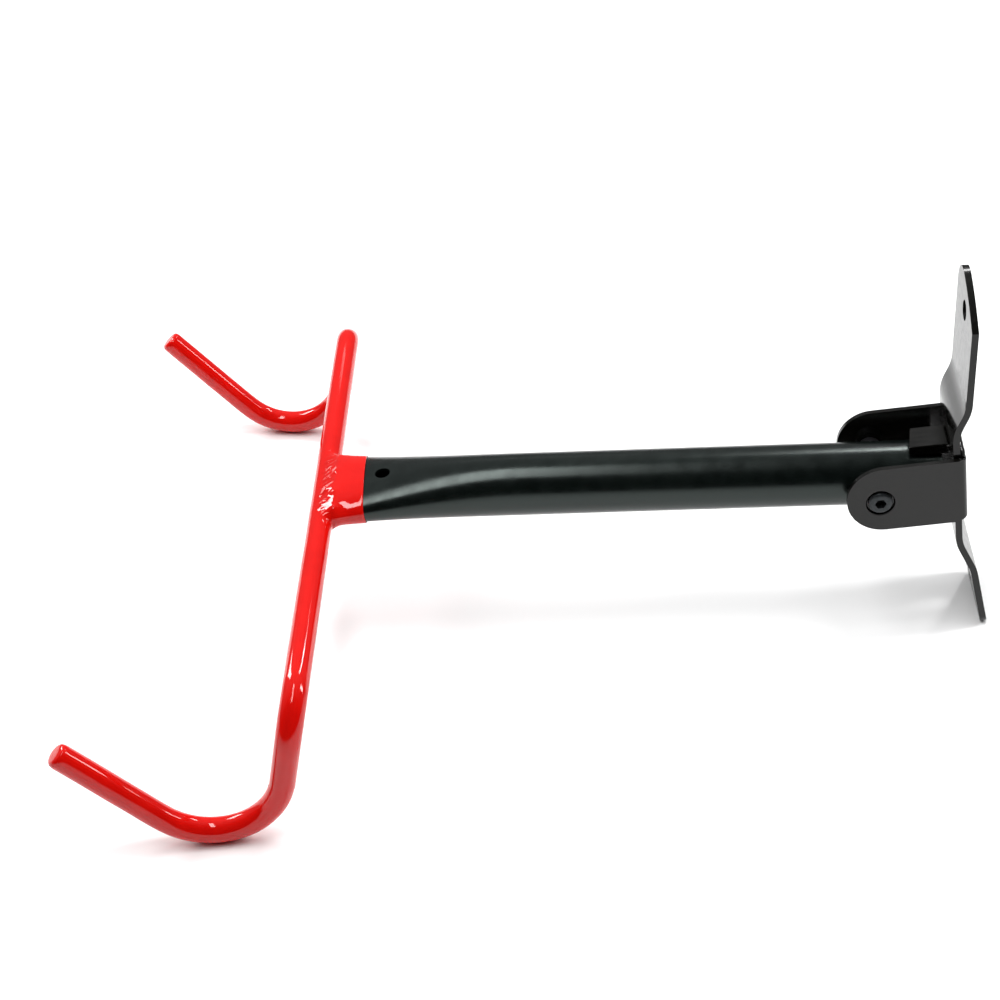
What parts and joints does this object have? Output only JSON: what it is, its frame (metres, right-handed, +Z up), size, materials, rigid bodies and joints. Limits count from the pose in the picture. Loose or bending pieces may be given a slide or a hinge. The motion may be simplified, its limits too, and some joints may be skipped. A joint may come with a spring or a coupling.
{
  "type": "folding bicycle wall rack",
  "caption": "Wall rack with a folding tube arm that ends in a wide vinyl-dipped cradle, whose upturned hooks carry a bicycle by its frame.",
  "frame": {"origin": "the point of the wall straight behind the arm's pivot, on the rack's middle plane", "axes": "+X along the crossbar, +Y into the wall, +Z up along the wall"},
  "size_m": [0.4276, 0.5315, 0.2341],
  "materials": {
    "enamel": "semi-gloss black enamel",
    "black_oxide": "black oxide",
    "nylon": "plain nylon",
    "bare_steel": "bare steel, hidden",
    "vinyl": "glossy dipped vinyl"
  },
  "bodies": {
    "wall_side": {"wall_plate": "enamel", "clevis_bracket": "enamel", "stop_block": "enamel", "stop_weld_right": "enamel", "stop_weld_left": "enamel", "plate_weld_lower": "enamel", "plate_weld_upper": "enamel", "pivot_bolt": "black_oxide", "nut_washer": "black_oxide", "pivot_nut": "black_oxide", "nut_insert": "nylon", "thrust_washer_right": "nylon", "thrust_washer_left": "nylon"},
    "arm": {"arm_tube": "enamel", "pivot_sleeve": "bare_steel", "cradle_bar": "bare_steel", "weld_upper": "bare_steel", "weld_lower": "bare_steel", "cradle_dip": "vinyl"}
  },
  "joints": [
    {"name": "arm_fold", "type": "hinge", "parent": "wall_side", "child": "arm", "pos_m": [0, -0.0615, 0], "axis": [-1, 0, 0], "range_deg": [0, 90]}
  ]
}
